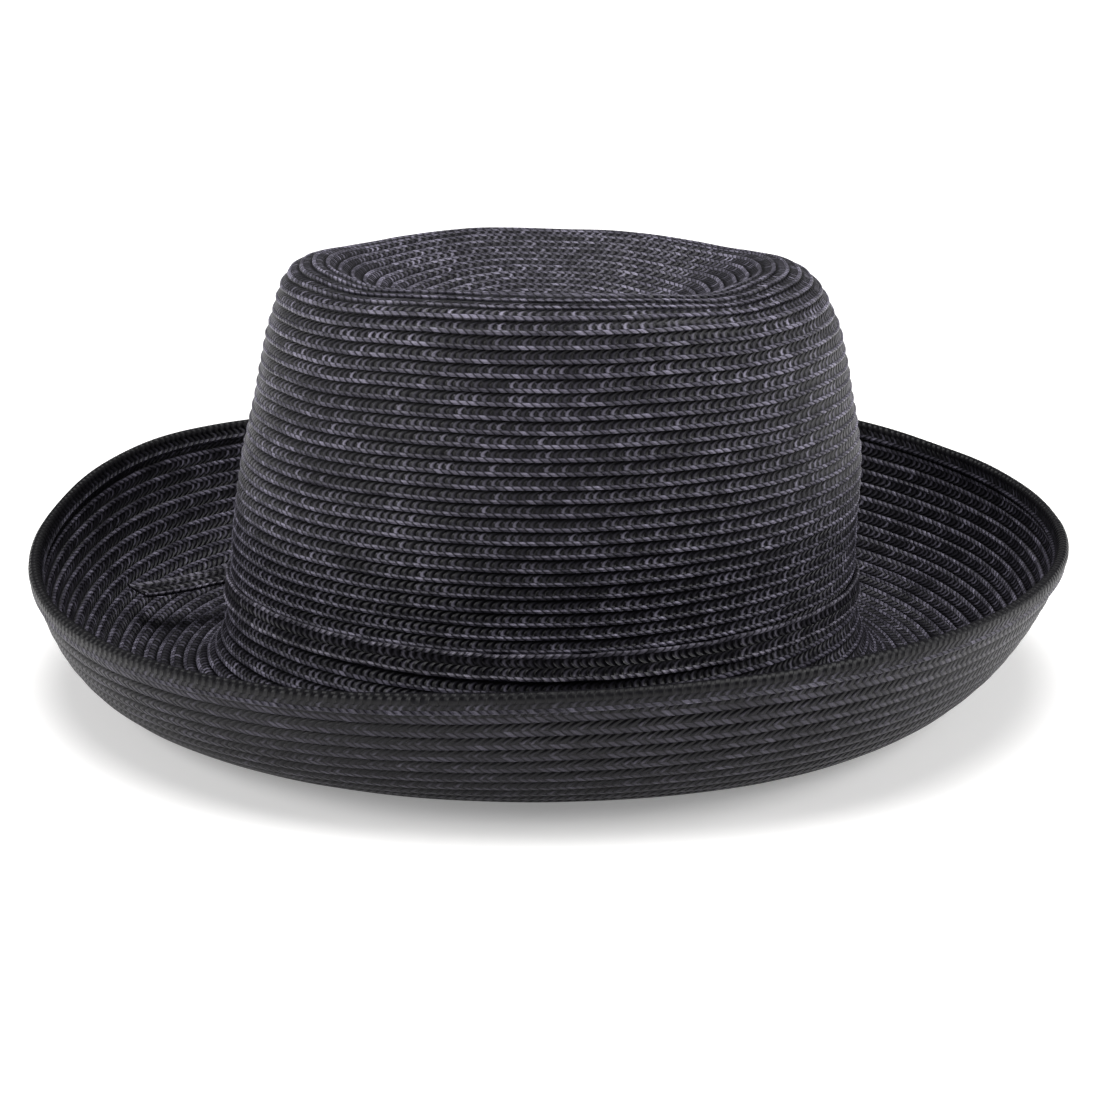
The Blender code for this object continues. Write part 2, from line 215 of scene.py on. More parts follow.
def round_the_rim(angles, name):
    """A column of the rim's table, as a smooth closed curve through its directions."""
    directions = np.radians(column(RIM_DIRECTIONS, RIM_COLUMNS, "direction"))
    values = column(RIM_DIRECTIONS, RIM_COLUMNS, name)
    count = len(values)
    place = (angles % (2 * np.pi)) / (directions[1] - directions[0])
    first = np.floor(place).astype(int) % count
    return through(place - np.floor(place), *(values[(first + step) % count] for step in (-1, 0, 1, 2)))


def rim_ring(angles):
    """The middle surface where it ends at the rim."""
    reach = round_the_rim(angles, "reach")
    x = BRIM_LENGTH / 2 * reach * np.cos(angles)
    y = BRIM_WIDTH / 2 * reach * np.sin(angles)
    return np.stack([x, y, BRIM_RISE * round_the_rim(angles, "rise")], axis=-1)


def control_rings(angles):
    """Every ring that shapes the hat, from the middle of the dish to the rim."""
    middle = crown_ring(angles, DISH_FLOOR, 0.0, 0.0, 0.0, 2.0)
    levels = [crown_ring(angles, *row) for row in reversed(CROWN_LEVELS)]
    seam = crown_ring(angles, SEAM_HEIGHT / CROWN_HEIGHT, *SEAM_LEVEL)
    rim = rim_ring(angles)
    flare = round_the_rim(angles, "flare")
    rings = []
    for reach, of_seam, of_rim in BRIM_RINGS:
        ring = seam + (rim - seam) * reach
        slope = max(reach - SLOPE_START, 0) / (1 - SLOPE_START)
        share = of_rim + (slope - of_rim) * flare * slope
        ring[..., 2] = WALL / 2 + of_seam * (seam[..., 2] - WALL / 2) + share * (rim[..., 2] - WALL / 2)
        rings.append(ring)
    return np.array([middle] + levels + [seam] + rings + [rim])


def surface(angles, places):
    """The middle surface at places counted in rings from the dish's middle; the result is [place, angle]."""
    rings = control_rings(angles)
    last = len(rings) - 1
    padded = np.concatenate([[2 * rings[0] - rings[1]], rings, [2 * rings[last] - rings[last - 1]]])
    result = []
    for place in places:
        first = min(int(place), last - 1)
        result.append(through(place - first, *padded[first:first + 4]))
    result = np.array(result)
    result[..., 2] = np.maximum(result[..., 2], WALL / 2)
    return result


def even_angles(count, place):
    """Directions of columns that stand evenly along the ring of the middle surface at one place."""
    angles = np.linspace(0, 2 * np.pi, 1441)
    run = distances(surface(angles, [place])[0][:, None])[:, 0]
    return np.interp(np.arange(count) * run[-1] / count, run, angles)


def unit(vectors):
    """Vectors scaled to length one."""
    return vectors / np.maximum(np.linalg.norm(vectors, axis=-1, keepdims=True), 1e-12)


def distances(points):
    """Length along each section of a grid [along, round], measured from its first row."""
    steps = np.linalg.norm(np.diff(points, axis=0), axis=-1)
    return np.concatenate([np.zeros((1, points.shape[1])), np.cumsum(steps, axis=0)])


def fine_surface(angles):
    """Fine middle surface in these directions: its points, normals on the right side, and row counts."""
    points = surface(angles, np.linspace(0, RIM_RING, RIM_RING * FINE_PLACES + 1))
    around = np.roll(points, -1, axis=1) - np.roll(points, 1, axis=1)
    out = unit(np.cross(np.gradient(points, axis=0), around))
    out[:2] = out[2].mean(axis=0)
    run = distances(points)
    marks = [ring * FINE_PLACES for ring in (0, RIDGE_RING, SEAM_RING, RIM_RING)]
    rows = np.zeros_like(run)
    for start, end, first, last in zip(marks, marks[1:], ROW_MARKS, ROW_MARKS[1:]):
        length = run[end] - run[start]
        share = (run[start:end + 1] - run[start]) / length
        if start == 0:
            share += (length / (WALL_ROW * last) - 1) * (share - 1) * share
        rows[start:end + 1] = first + share * (last - first)
    return points, unit(out), rows


def count_rows():
    """Rows from the dish's middle to the ridge, the seam and the rim.

    On the near side a row's edge lies on the ridge, and another at the foot of the edge braid's outer leg.
    """
    near = np.radians([NEAR_SIDE - 1, NEAR_SIDE, NEAR_SIDE + 1])
    points = surface(near, np.linspace(0, RIM_RING, RIM_RING * FINE_PLACES + 1))
    run = distances(points)[:, 1]
    to_ridge, to_seam, to_rim = (run[ring * FINE_PLACES] for ring in (RIDGE_RING, SEAM_RING, RIM_RING))
    turn = NEAR_SIDE / 360
    ridge = round(to_ridge / WALL_ROW) - turn
    seam = ridge + (to_seam - to_ridge) / WALL_ROW
    leg = EDGE_OUTER_LEG / BRIM_ROW
    rim = round(seam + (to_rim - to_seam) / BRIM_ROW - leg + turn) - turn + leg
    return 0.0, ridge, seam, rim


ROW_MARKS = count_rows()


def measure_spiral():
    """Length of braid up to each row count, and the share of a turn's length run at each direction."""
    angles = np.linspace(0, 2 * np.pi, TABLE_DIRECTIONS)
    points, _, rows = fine_surface(angles)
    grid = np.linspace(0, ROW_MARKS[-1], TABLE_ROWS)
    rings = np.zeros((TABLE_ROWS, TABLE_DIRECTIONS, 3))
    for side in range(TABLE_DIRECTIONS):
        for axis in range(3):
            rings[:, side, axis] = np.interp(grid, rows[:, side], points[:, side, axis])
    run = distances(rings.transpose(1, 0, 2)).T
    turn_length = run[:, -1]
    total = np.concatenate([[0], np.cumsum((turn_length[1:] + turn_length[:-1]) / 2 * np.diff(grid))])
    return grid, total, run / np.maximum(turn_length[:, None], 1e-9)


SPIRAL = measure_spiral()


def stitches_along(row, angles):
    """How far along the spiral, in stitches, a row has come in each direction."""
    grid, total, share = SPIRAL
    level = np.clip(row - angles / (2 * np.pi) + 0.5, 0, grid[-1]) / grid[1]
    side = angles / (2 * np.pi) * (TABLE_DIRECTIONS - 1)
    level_low = np.minimum(level.astype(int), TABLE_ROWS - 2)
    side_low = np.minimum(side.astype(int), TABLE_DIRECTIONS - 2)
    up, on = level - level_low, side - side_low
    run = ((1 - up) * ((1 - on) * share[level_low, side_low] + on * share[level_low, side_low + 1])
           + up * ((1 - on) * share[level_low + 1, side_low] + on * share[level_low + 1, side_low + 1]))
    return np.interp(row - run + 0.5, grid, total) / STITCH


# Section through one row, from its tucked edge (0) to its free edge (1): how far it stands out, as a share of
# LAP. The crest near the free edge is the rolled outer strand of the plait.
PROFILE_COLUMNS = ("place", "height")
RIGHT_SIDE = (
    (0.00, 0.00),
    (0.26, 0.24),
    (0.50, 0.46),
    (0.64, 0.50),
    (0.79, 1.10),
    (0.95, 0.86),
)
BRIM_BACK = (
    (0.00, 0.00),
    (0.10, 0.48),
    (0.30, 0.92),
    (0.56, 1.08),
    (0.80, 0.92),
    (0.95, 0.42),
)
PLAIN_SIDE = (
    (0.10, 0.20),
    (0.85, 0.55),
)


def row_height(profile, place):
    """Height of a row's section at its places, as a share of LAP."""
    places = column(profile, PROFILE_COLUMNS, "place")
    heights = column(profile, PROFILE_COLUMNS, "height")
    return np.interp(place % 1.0, np.append(places, 1.0), np.append(heights, heights[0]))


def wobble(turns, seed, amount):
    """Slow unevenness of hand sewing along the spiral."""
    rng = np.random.default_rng(seed)
    total = np.zeros_like(turns)
    for waves in (2.3, 5.7, 9.1, 14.9, 23.3):
        total += np.sin(2 * np.pi * (waves * turns + rng.random())) / 3
    return total * amount


def lapped_sheet(fine, angles, profile, first_row, last_row, side):
    """One face of the sewn braid between two row counts: vertices [sample, column], row and place of each."""
    points, out, rows = fine
    count = points.shape[1]
    places = column(profile, PROFILE_COLUMNS, "place")
    whole = np.arange(np.floor(first_row) - 1, np.ceil(last_row) + 1)
    sample_row = np.repeat(whole, len(places))
    sample_place = np.tile(places, len(whole))
    turn = angles / (2 * np.pi)
    along = sample_row[:, None] - turn[None, :]
    place = sample_place if side > 0 else 1 - sample_place
    wanted = along + place[:, None] + wobble(along, 11, ROW_WANDER)
    order = np.arange(len(sample_row))
    if side < 0:
        order = np.argsort(sample_row + place, kind="stable")
    wanted, along = wanted[order], along[order]
    clipped = np.clip(wanted, first_row, last_row)
    height = row_height(profile, sample_place[order])[:, None] * (1 + wobble(along, 23, RELIEF_WANDER))
    at_end = row_height(profile, (clipped + turn) % 1.0 if side > 0 else (-clipped - turn) % 1.0)
    height = np.where(clipped == wanted, height, at_end)
    fade = np.clip(clipped / FADE_ROWS, 0, 1)
    lift = side * (BRAID_HALF + LAP * height * fade)
    verts = np.zeros((len(order), count, 3))
    for spot in range(count):
        for axis in range(3):
            middle = np.interp(clipped[:, spot], rows[:, spot], points[:, spot, axis])
            normal = np.interp(clipped[:, spot], rows[:, spot], out[:, spot, axis])
            verts[:, spot, axis] = middle + normal * lift[:, spot]
    return verts, sample_row[order], sample_place[order]


def sheet_faces(verts, angles, sample_row, sample_place, per_row, start, side):
    """Quads of one face of the braid, which closes round the hat one row lower, with their corners' UVs."""
    samples, count = verts.shape[:2]
    faces, uvs = [], []
    columns = np.arange(count)
    closed = np.append(angles, 2 * np.pi)
    for low in range(samples - 1):
        row = sample_row[low] if side > 0 else sample_row[low + 1]
        lower, upper = sample_place[low], sample_place[low + 1]
        if side > 0 and upper < lower:
            upper = 1.0
        if side < 0 and lower < upper:
            lower = 1.0
        following = (columns + 1) % count
        shift = np.where(following == 0, per_row, 0)
        a = start + low * count + columns
        b = start + (low - shift) * count + following
        c = start + (low + 1 - shift) * count + following
        d = start + (low + 1) * count + columns
        keep = low - shift >= 0
        run = stitches_along(row, closed)
        here, ahead = run[:-1], run[1:]
        quad = np.stack([a, b, c, d], axis=1)
        corner = np.stack([np.stack([here, np.full(count, row + lower)], axis=1),
                           np.stack([ahead, np.full(count, row + lower)], axis=1),
                           np.stack([ahead, np.full(count, row + upper)], axis=1),
                           np.stack([here, np.full(count, row + upper)], axis=1)], axis=1)
        if side > 0:
            quad, corner = quad[:, ::-1], corner[:, ::-1]
        faces.append(quad[keep])
        uvs.append(corner[keep])
    return np.concatenate(faces), np.concatenate(uvs)


def make_mesh(name, verts, faces, uvs, finishes, back_from=None, smooth_angle=48.0):
    """A piece from arrays of corners, quads and their UVs. Faces from back_from on have the second finish."""
    mesh = bpy.data.meshes.new(name)
    mesh.from_pydata(verts.tolist(), [], faces.tolist())
    layer = mesh.uv_layers.new(name="braid")
    layer.uv.foreach_set("vector", np.asarray(uvs, np.float32).ravel())
    if back_from is not None:
        on_back = (np.arange(len(faces)) >= back_from).astype(np.int32)
        mesh.polygons.foreach_set("material_index", on_back)
    piece = bpy.data.objects.new(name, mesh)
    bpy.context.scene.collection.objects.link(piece)
    weld(mesh)
    mesh.shade_smooth()
    mesh.set_sharp_from_angle(angle=np.radians(smooth_angle))
    for finish in finishes:
        mesh.materials.append(finish)
    return piece


def weld(mesh):
    """Join corners that meet, and drop the faces that this closes up."""
    build = bmesh.new()
    build.from_mesh(mesh)
    bmesh.ops.remove_doubles(build, verts=build.verts, dist=WELD)
    bmesh.ops.dissolve_degenerate(build, edges=build.edges, dist=WELD)
    build.to_mesh(mesh)
    build.free()


def make_braid_shell(name, first_row, last_row, count, even_at, right, back, finishes):
    """A closed shell of sewn braid between two row counts: right side, back, and cut ends between them."""
    angles = even_angles(count, even_at)
    fine = fine_surface(angles)
    top, top_row, top_place = lapped_sheet(fine, angles, right, first_row, last_row, 1)
    under, under_row, under_place = lapped_sheet(fine, angles, back, first_row, last_row, -1)
    faces, uvs = sheet_faces(top, angles, top_row, top_place, len(right), 0, 1)
    start = top.shape[0] * count
    more, more_uvs = sheet_faces(under, angles, under_row, under_place, len(back), start, -1)
    columns = np.arange(count)
    following = (columns + 1) % count
    ends = []
    if first_row > 0:
        ends.append(np.stack([columns, following, start + following, start + columns], axis=1))
    last_top = (top.shape[0] - 1) * count
    last_under = start + (under.shape[0] - 1) * count
    ends.append(np.stack([last_under + columns, last_under + following,
                          last_top + following, last_top + columns], axis=1))
    ends = np.concatenate(ends)
    verts = np.concatenate([top.reshape(-1, 3), under.reshape(-1, 3)])
    end_uvs = np.zeros((len(ends), 4, 2))
    return make_mesh(name, verts, np.concatenate([faces, more, ends]),
                     np.concatenate([uvs, more_uvs, end_uvs]), finishes, len(faces))


def linear(colour):
    """An sRGB hex colour as linear RGBA."""
    values = [int(colour[place:place + 2], 16) / 255 for place in (1, 3, 5)]
    return tuple(v / 12.92 if v <= 0.04045 else ((v + 0.055) / 1.055) ** 2.4 for v in values) + (1.0,)


def add(tree, kind, links=(), **settings):
    """Add a node with its settings and its links; a link is (input, socket or constant)."""
    node = tree.nodes.new(kind)
    for name, value in settings.items():
        setattr(node, name, value)
    for where, value in links:
        if isinstance(value, bpy.types.NodeSocket):
            tree.links.new(value, node.inputs[where])
        else:
            node.inputs[where].default_value = value
    return node


def straw_braid(name, dark, light, open_tone, rope_tone_with_highlight, rope_from, bump_depth):
    """Paper straw, twisted into thin strands, plaited and dyed black.

    The eye gets slanting strands with dark gaps between them, a paler rolled edge along each row, a satin
    shine, and dye that took unevenly, so that some strands are greyer. The pale backs of the strands and the
    paler rolled edge are partly painted highlight; the strands' sides, the tucked and free edges of each row
    and the groove where the rolled edge begins are darkened as painted shade.
    """
    finish = bpy.data.materials.new(name)
    finish.use_nodes = True
    tree = finish.node_tree
    shader = tree.nodes["Principled BSDF"]

    def math(operation, *values, clamp=False):
        return add(tree, "ShaderNodeMath", enumerate(values), operation=operation, use_clamp=clamp).outputs[0]

    uv = add(tree, "ShaderNodeUVMap", uv_map="braid").outputs[0]
    split = add(tree, "ShaderNodeSeparateXYZ", [(0, uv)])
    along, across = split.outputs[0], split.outputs[1]
    place = math("FRACT", across)
    row = math("FLOOR", across)
    on_edge = math("GREATER_THAN", place, rope_from)

    # The plait is drawn a little unevenly
    slow = add(tree, "ShaderNodeCombineXYZ",
               [(0, math("MULTIPLY", along, 0.30)), (1, math("MULTIPLY", row, 7.3))]).outputs[0]
    drift = add(tree, "ShaderNodeTexNoise", [("Vector", slow), ("Scale", 1.0), ("Detail", 1.0)]).outputs[0]
    along = math("MULTIPLY_ADD", drift, 0.7, along)

    # Strands of the open part of the plait lean one way, and those of its rolled edge the other way
    bow = math("POWER", math("ABSOLUTE", math("SUBTRACT", place, 0.42)), 2.0)
    lean_in = math("MULTIPLY_ADD", bow, 4.0, math("MULTIPLY_ADD", place, -0.7, along))
    lean_out = math("MULTIPLY_ADD", place, 1.9, along)
    crossing = math("MULTIPLY_ADD", place, 1.5, along)
    strand_at = add(tree, "ShaderNodeMix", [("Factor", on_edge), ("A", lean_in), ("B", lean_out)]).outputs[0]
    round_part = math("MULTIPLY", math("PINGPONG", strand_at, 0.5), 2.0)
    crest = math("POWER", round_part, 0.6)

    # Each strand took the dye in its own way; the rolled edge is paler overall, partly as painted highlight
    spot = add(tree, "ShaderNodeCombineXYZ",
               [(0, math("FLOOR", strand_at)), (1, row), (2, on_edge)]).outputs[0]
    chance = add(tree, "ShaderNodeTexWhiteNoise", [("Vector", spot)], noise_dimensions="3D").outputs[0]
    pale_open = math("MULTIPLY_ADD", math("POWER", chance, 3.0), 0.85 * open_tone, 0.15 * open_tone)
    # Painted highlight, in part: the rolled edge's strands come out paler than the open part's
    pale_rope_with_highlight = math("MULTIPLY_ADD", math("POWER", chance, 1.6), 0.65 * rope_tone_with_highlight, 0.35 * rope_tone_with_highlight)
    pale = add(tree, "ShaderNodeMix", [("Factor", on_edge), ("A", pale_open), ("B", pale_rope_with_highlight)]).outputs[0]

    # Fine fibres run along each strand
    across_strand = math("MULTIPLY", strand_at, 8.0)
    along_strand = math("MULTIPLY", place, 3.0)
    fibre_at = add(tree, "ShaderNodeCombineXYZ",
                   [(0, across_strand), (1, along_strand), (2, row)]).outputs[0]
    fibre = add(tree, "ShaderNodeTexNoise",
                [("Vector", fibre_at), ("Scale", 1.0), ("Detail", 2.0)]).outputs[0]

    def ramp(value, low, high, at_low, at_high):
        return add(tree, "ShaderNodeMapRange", [("Value", value), ("From Min", low), ("From Max", high),
                                                ("To Min", at_low), ("To Max", at_high)],
                   interpolation_type="SMOOTHSTEP").outputs[0]

    # Painted highlight and shade: each strand is pale along its back, partly as painted highlight, while its
    # sides, the tucked edge under the next row, the groove where the rolled edge begins and the underside of
    # the free edge are darkened as painted shade
    over = ramp(round_part, 0.40, 0.90, 0.0, 1.0)
    under = ramp(math("PINGPONG", crossing, 0.5), 0.28, 0.48, 0.0, 0.45)
    open_pale_and_highlight = math("MAXIMUM", over, under)
    rope_pale_and_highlight = ramp(round_part, 0.02, 0.55, 0.12, 1.0)
    strand_pale_and_highlight = add(tree, "ShaderNodeMix",
                      [("Factor", on_edge), ("A", open_pale_and_highlight), ("B", rope_pale_and_highlight)]).outputs[0]
    # Painted shade: darker at the tucked edge, where the next row laps over it
    shade_under_next_row = ramp(place, 0.06, 0.34, 0.0, 1.0)
    # Painted shade: a dark line in the groove where the rolled edge begins
    fold = ramp(math("ABSOLUTE", math("SUBTRACT", place, rope_from)), 0.0, 0.04, 0.30, 1.0)
    # Painted shade: darker along the free edge, under the rolled strand
    shade_under_free_edge = ramp(place, 0.93, 1.0, 1.0, 0.1)
    strands_with_painted_light_and_shade = math("MULTIPLY", math("MULTIPLY", strand_pale_and_highlight, shade_under_next_row), math("MULTIPLY", fold, shade_under_free_edge))
    streak = math("MULTIPLY_ADD", fibre, 1.3, 0.35)
    patches = add(tree, "ShaderNodeTexNoise", [("Vector", slow), ("Scale", 0.55), ("Detail", 2.0)]).outputs[0]
    worn = ramp(patches, 0.30, 0.70, 0.55, 1.35)
    tone = math("MULTIPLY", math("MULTIPLY", strands_with_painted_light_and_shade, streak), math("MULTIPLY", pale, worn), clamp=True)
    colour = add(tree, "ShaderNodeMix", [("Factor", tone), ("A", linear(dark)), ("B", linear(light))],
                 data_type="RGBA").outputs[2]
    relief = math("MULTIPLY_ADD", fibre, 0.18, crest)
    bump = add(tree, "ShaderNodeBump", [("Height", relief), ("Distance", bump_depth), ("Strength", 1.0)])
    tree.links.new(colour, shader.inputs["Base Color"])
    tree.links.new(bump.outputs[0], shader.inputs["Normal"])
    shader.inputs["Roughness"].default_value = 0.42
    shader.inputs["Specular IOR Level"].default_value = 0.18
    return finish


# Each row is one finish: its name, the dye in the gaps, the colour on the strands, partly their pale dye and
# partly painted highlight, how pale the open part and the rolled edge are, both partly painted highlight,
# where across the row the rolled edge begins, and the depth of the strands
STRAW_FINISHES = (
    ("paper-straw plait, dyed black", "#08070B", "#837F90", 0.75, 0.80, 0.66, 0.45 * MM),
    ("paper-straw plait, dyed black, back", "#08070B", "#524F5B", 0.60, 0.60, 0.46, 0.40 * MM),
    ("paper-straw plait, dyed black, folded", "#08070B", "#605D6B", 0.60, 0.75, 0.60, 0.45 * MM),
    ("paper-straw plait, dyed black, band", "#07060A", "#85818F", 0.60, 0.90, 0.68, 0.45 * MM),
)


# The folded edge braid

# Section of one leg of the fold, from its top to its free edge, as shares of the leg and of LAP
LEG_SIDE = (
    (0.15, 0.55),
    (0.40, 0.62),
    (0.62, 0.60),
    (0.82, 0.95),
    (1.00, 0.50),
)
FOLD_TURNS = (0, 36, 72, 108, 144, 180)     # degrees round the top of the fold


def walk(points, extra, wanted):
    """Points and extra vectors of a grid where each section has run the wanted lengths, one row for each."""
    run = distances(points)
    shape = (len(wanted), points.shape[1], 3)
    place, other = np.zeros(shape), np.zeros(shape)
    for side in range(points.shape[1]):
        for axis in range(3):
            place[:, side, axis] = np.interp(wanted, run[:, side], points[:, side, axis])
            other[:, side, axis] = np.interp(wanted, run[:, side], extra[:, side, axis])
    return place, unit(other)


def make_edge_braid(finish):
    """The last braid of the brim, folded over the rim, with both free edges showing."""
    fine, out, _ = fine_surface(even_angles(EDGE_COLUMNS, RIM_RING))
    fine, out = fine[::-1][:3 * FINE_PLACES], out[::-1][:3 * FINE_PLACES]
    ahead = unit(fine[0] - fine[1])
    turns = np.arange(EDGE_COLUMNS) / EDGE_COLUMNS
    uneven = 1 + wobble(turns, 31, 0.10)[:, None]
    near = WALL / 2 + FIT_GAP
    lengths = column(LEG_SIDE, PROFILE_COLUMNS, "place")
    heights = column(LEG_SIDE, PROFILE_COLUMNS, "height")
    inner, inner_out = walk(fine, out, lengths * (EDGE_INNER_LEG + WALL / 2))
    outer, outer_out = walk(fine, out, lengths * (EDGE_OUTER_LEG + WALL / 2))
    crest = near + EDGE_WALL * EDGE_CREST
    rows = [spot + face * (near + EDGE_WALL * height * uneven)
            for spot, face, height in zip(inner[::-1], inner_out[::-1], heights[::-1])]
    rows += [fine[0] + (out[0] * np.cos(turn) + ahead * np.sin(turn)) * crest * uneven
             for turn in np.radians(FOLD_TURNS)]
    rows += [spot - face * (near + EDGE_WALL * height * uneven)
             for spot, face, height in zip(outer, outer_out, heights)]
    rows += [outer[-1] - outer_out[-1] * near, fine[0] - out[0] * near]
    rows += [fine[0] + out[0] * near, inner[-1] + inner_out[-1] * near]
    verts = np.array(rows)
    places = np.concatenate([lengths[::-1], np.abs(np.cos(np.radians(FOLD_TURNS))) * 0.12, lengths,
                             [1.0, 0.2, 0.2, 1.0]]) * 0.999
    length = np.linalg.norm(np.roll(fine[0], -1, axis=0) - fine[0], axis=-1)
    along = -np.concatenate([[0], np.cumsum(length)]) / STITCH
    return make_mesh("edge_braid_fold", verts.reshape(-1, 3), *closed_tube(verts, along, places), [finish])


def closed_tube(verts, along, places):
    """Quads and UVs of a tube [row, column] that closes both ways."""
    rows, count = verts.shape[:2]
    columns = np.arange(count)
    following = (columns + 1) % count
    faces, uvs = [], []
    for row in range(rows):
        upper = (row + 1) % rows
        quad = np.stack([row * count + columns, row * count + following,
                         upper * count + following, upper * count + columns], axis=1)
        low, high = np.full(count, places[row]), np.full(count, places[upper])
        corner = np.stack([np.stack([along[:-1], low], axis=1), np.stack([along[1:], low], axis=1),
                           np.stack([along[1:], high], axis=1), np.stack([along[:-1], high], axis=1)], axis=1)
        faces.append(quad)
        uvs.append(corner)
    return np.concatenate(faces), np.concatenate(uvs)


# The band and its tail

# Outer face of the band's section: across its width, as a share of half of it, and how far it stands out, as
# a share of half its thickness
BAND_SECTION = (
    (-1.00, 0.10),
    (-0.93, 0.85),
    (-0.80, 1.00),
    (-0.66, 0.45),
    (-0.35, 0.62),
    (0.00, 0.55),
    (0.35, 0.62),
    (0.66, 0.45),
    (0.80, 1.00),
    (0.93, 0.85),
    (1.00, 0.10),
)


def band_on_crown(count):
    """Middle line of the band round the crown, its direction across the width and through the thickness."""
    degrees = np.linspace(BAND_START, BAND_START + 360 + BAND_OVERLAP, count)
    angles = np.radians(degrees)
    climb = np.clip((degrees - (BAND_START + 360 - BAND_LIFT)) / BAND_LIFT, 0, 1)
    layer = (BAND_THICKNESS + FIT_GAP) * climb * climb * (3 - 2 * climb)
    fine = surface(angles, np.linspace(SEAM_RING + 3, SEAM_RING - 3, 121))
    step = np.gradient(fine, axis=1)
    out = unit(np.cross(step, np.gradient(fine, axis=0)))
    at_seam = distances(fine)[60].mean()
    (foot, head), (face, _) = walk(fine, out, (at_seam + BAND_FOOT, at_seam + BAND_FOOT + BAND_WIDTH))
    foot = foot + face * BAND_FLARE
    stand_off = WALL / 2 + FIT_GAP + BAND_THICKNESS / 2 + layer
    return (head + foot) / 2 + face * stand_off[:, None], unit(head - foot), face


def tail_of_band(start, across, face, heading, count):
    """The free end: it leaves the crown along its last heading, sinks and turns flat towards its tip."""
    t = np.linspace(0, 1, count + 1)[1:, None]
    tip = start + np.array([-TAIL_REACH, -TAIL_SWEEP, -TAIL_DROP])
    length = np.linalg.norm(tip - start)
    leave = start + heading * length * TAIL_EASE - np.array([0, 0, TAIL_SAG])
    arrive = tip + np.array(TAIL_END_HEADING) * length * TAIL_EASE
    middle = ((1 - t) ** 3 * start + 3 * (1 - t) ** 2 * t * leave
              + 3 * (1 - t) * t ** 2 * arrive + t ** 3 * tip)
    ahead = unit(np.gradient(np.concatenate([start[None], middle]), axis=0)[1:])
    turn = np.radians(90 - TAIL_TILT) * (t * t * (3 - 2 * t))
    level = unit(np.cross(ahead, (0.0, 0.0, 1.0)))
    lean = across * (1 - t) + np.cross(level, ahead) * t
    width = lean * np.cos(turn) + level * np.sin(turn)
    width = unit(width - ahead * np.sum(width * ahead, axis=-1, keepdims=True))
    through_it = np.cross(width, ahead)
    return middle, width, through_it * np.sign(np.sum(through_it[0] * face))


def make_band_braid(finish):
    """One strip of the braid, wound once round the crown's foot over its own start, with a free tail."""
    round_length = np.pi * (CROWN_LENGTH + CROWN_WIDTH) / 2 * (360 + BAND_OVERLAP) / 360
    middle, across, face = band_on_crown(int(round_length / BAND_SPACING))
    heading = unit(middle[-1] - middle[-2])
    tail_length = np.linalg.norm([TAIL_REACH, TAIL_SWEEP, TAIL_DROP])
    tail, width, through_it = tail_of_band(middle[-1], across[-1], face[-1], heading,
                                           int(tail_length / BAND_SPACING))
    middle = np.concatenate([middle, tail])
    across = np.concatenate([across, width])
    face = np.concatenate([face, through_it])
    run = np.concatenate([[0], np.cumsum(np.linalg.norm(np.diff(middle, axis=0), axis=-1))])
    wide = column(BAND_SECTION, PROFILE_COLUMNS, "place") * BAND_WIDTH / 2
    high = column(BAND_SECTION, PROFILE_COLUMNS, "height") * BAND_THICKNESS / 2
    outline_wide = np.concatenate([wide, wide[::-1]])
    outline_high = np.concatenate([high, -high[::-1]])
    uneven = 1 + wobble(run / 0.3, 41, 0.06)
    verts = (middle[:, None] + across[:, None] * outline_wide[None, :, None] * uneven[:, None, None]
             + face[:, None] * outline_high[None, :, None])
    ahead = unit(middle[-1] - middle[-2])
    last_run = np.clip((run - run[-1] + TAIL_END) / TAIL_END, 0, 1)
    slant = TAIL_SLANT * outline_wide / BAND_WIDTH
    verts += ahead * (last_run[:, None] * slant[None, :])[:, :, None]
    stations, sides = verts.shape[:2]
    rope = 0.10 + 0.89 * np.abs(outline_wide) * 2 / BAND_WIDTH
    faces, uvs = [], []
    for side in range(sides):
        other = (side + 1) % sides
        rows = np.arange(stations - 1)
        faces.append(np.stack([rows * sides + side, rows * sides + other,
                               (rows + 1) * sides + other, (rows + 1) * sides + side], axis=1))
        low, high_place = rope[side], rope[other]
        here, following = -run[:-1] / STITCH, -run[1:] / STITCH
        uvs.append(np.stack([np.stack([here, np.full(len(rows), low)], axis=1),
                             np.stack([here, np.full(len(rows), high_place)], axis=1),
                             np.stack([following, np.full(len(rows), high_place)], axis=1),
                             np.stack([following, np.full(len(rows), low)], axis=1)], axis=1))
    half = sides // 2
    for station in (0, stations - 1):
        base = station * sides
        quads = [[base + spot, base + spot + 1, base + sides - 2 - spot, base + sides - 1 - spot]
                 for spot in range(half - 1)]
        faces.append(np.array(quads))
        uvs.append(np.full((len(quads), 4, 2), run[station] / STITCH))
    faces, uvs = np.concatenate(faces), np.concatenate(uvs)
    return make_mesh("band_braid", verts.reshape(-1, 3), faces, uvs, [finish])


# Studio

CAMERA_AT = (0.0004, -0.7232, 0.2668)
CAMERA_PITCH = 0.309        # radians below the horizon
CAMERA_LENS = 78.46         # mm on 36 mm of film
SOFT_LIGHTS = (
    # name, place, size, power in watts, and where it points
    ("top_light", (0.0, 0.00, 1.5), 1.2, 24.0, (0.0, 0.0, 0.0)),
    ("left_light", (-1.3, -0.30, 0.70), 1.0, 15.0, (0.0, 0.0, 0.06)),
    ("right_light", (1.3, -0.20, 0.70), 1.0, 17.0, (0.0, 0.0, 0.06)),
)


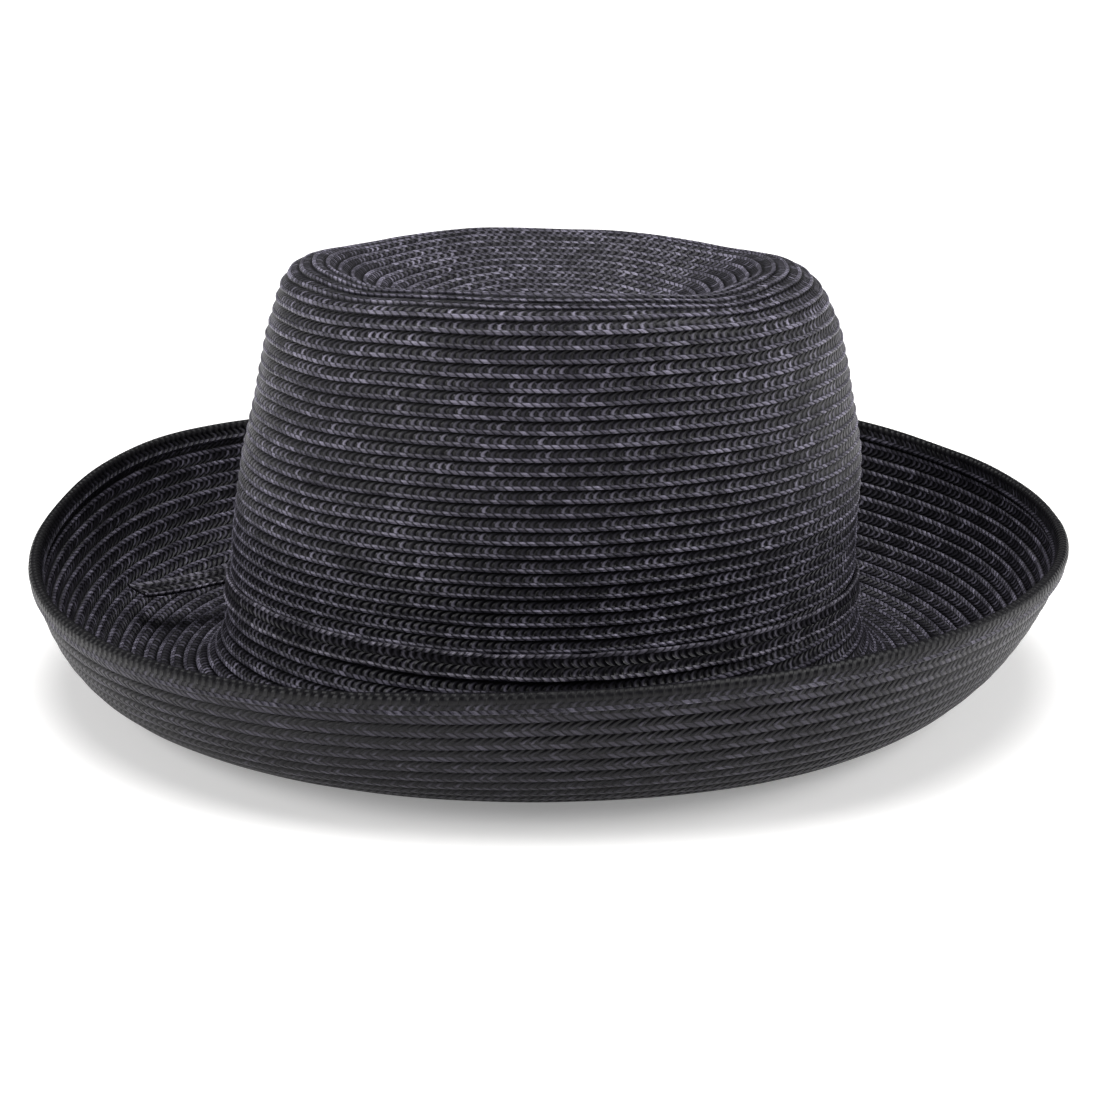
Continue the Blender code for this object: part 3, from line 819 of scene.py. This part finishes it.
def make_studio():
    """Camera at the photo's angle, white floor glowing as painted light, dimmer near the hat as painted
    shadow, white backdrop, and soft lights above and on both sides.
    """
    scene = bpy.context.scene
    camera = bpy.data.objects.new("camera", bpy.data.cameras.new("camera"))
    camera.location = CAMERA_AT
    camera.rotation_euler = (np.pi / 2 - CAMERA_PITCH, 0.0, 0.0)
    camera.data.lens = CAMERA_LENS
    camera.data.sensor_width = 36.0
    camera.data.clip_start = 0.01
    scene.collection.objects.link(camera)
    scene.camera = camera
    for name, place, size, power, target in SOFT_LIGHTS:
        lamp = bpy.data.lights.new(name, "AREA")
        lamp.shape = "DISK"
        lamp.size = size
        lamp.energy = power
        light = bpy.data.objects.new(name, lamp)
        light.location = place
        light.rotation_euler = (Vector(target) - Vector(place)).to_track_quat("-Z", "Y").to_euler()
        scene.collection.objects.link(light)
    world = bpy.data.worlds.new("studio")
    world.use_nodes = True
    world.node_tree.nodes["Background"].inputs["Color"].default_value = (1.0, 1.0, 1.0, 1.0)
    world.node_tree.nodes["Background"].inputs["Strength"].default_value = 0.14
    scene.world = world
    scene.view_settings.view_transform = "Standard"
    bpy.ops.mesh.primitive_plane_add(size=12.0, location=(0.0, 0.0, 0.0))
    floor = bpy.context.object
    floor.name = "floor"
    paper = bpy.data.materials.new("white studio paper, lit brighter away from the hat")
    paper.use_nodes = True
    tree = paper.node_tree
    shader = tree.nodes["Principled BSDF"]
    shader.inputs["Base Color"].default_value = linear("#F7F6F5")
    shader.inputs["Roughness"].default_value = 0.9
    shader.inputs["Emission Color"].default_value = (1.0, 1.0, 1.0, 1.0)
    # Painted light: the floor glows, dimmer near the hat, which paints a tight shadow round it
    spot = add(tree, "ShaderNodeTexCoord").outputs["Object"]
    away = add(tree, "ShaderNodeVectorMath", [(0, spot)], operation="LENGTH").outputs["Value"]
    glow = add(tree, "ShaderNodeMapRange", [("Value", away), ("From Min", 0.4), ("From Max", 1.4),
                                            ("To Min", 0.25), ("To Max", 0.95)]).outputs[0]
    tree.links.new(glow, shader.inputs["Emission Strength"])
    floor.data.materials.append(paper)


def place_piece(piece, node):
    """The piece rides on the hat and stands for a CAD node, which it hides."""
    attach(piece, "root")
    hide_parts(node)


def main():
    right, back, folded, strip = (straw_braid(*finish) for finish in STRAW_FINISHES)
    ridge, seam, rim = ROW_MARKS[1:]
    tip_end = ridge + TIP_ROWS
    flat_end = seam + (rim - seam) * FLAT_ROWS
    shells = (
        # name, first row, last row, columns, ring where they stand evenly, section of its back, node, slot
        ("crown_tip", 0.0, tip_end + 0.08, 480, RIDGE_RING, PLAIN_SIDE, "crown", "crown_straw"),
        ("crown_wall", tip_end, seam, 480, SEAM_RING - 2, PLAIN_SIDE, "crown", "crown_straw"),
        ("brim_flat", seam, flat_end + 0.05, 560, SEAM_RING, BRIM_BACK, "brim", "brim_straw"),
        ("brim_turn_up", flat_end, rim, 620, RIM_RING, BRIM_BACK, "brim", "brim_straw"),
    )
    for name, first_row, last_row, count, even_at, back_side, node, slot in shells:
        shell = make_braid_shell(name, first_row, last_row, count, even_at, RIGHT_SIDE, back_side,
                                 (right, back))
        place_piece(shell, node)
    place_piece(make_edge_braid(folded), "edge_braid")
    place_piece(make_band_braid(strip), "band")
    make_studio()


main()
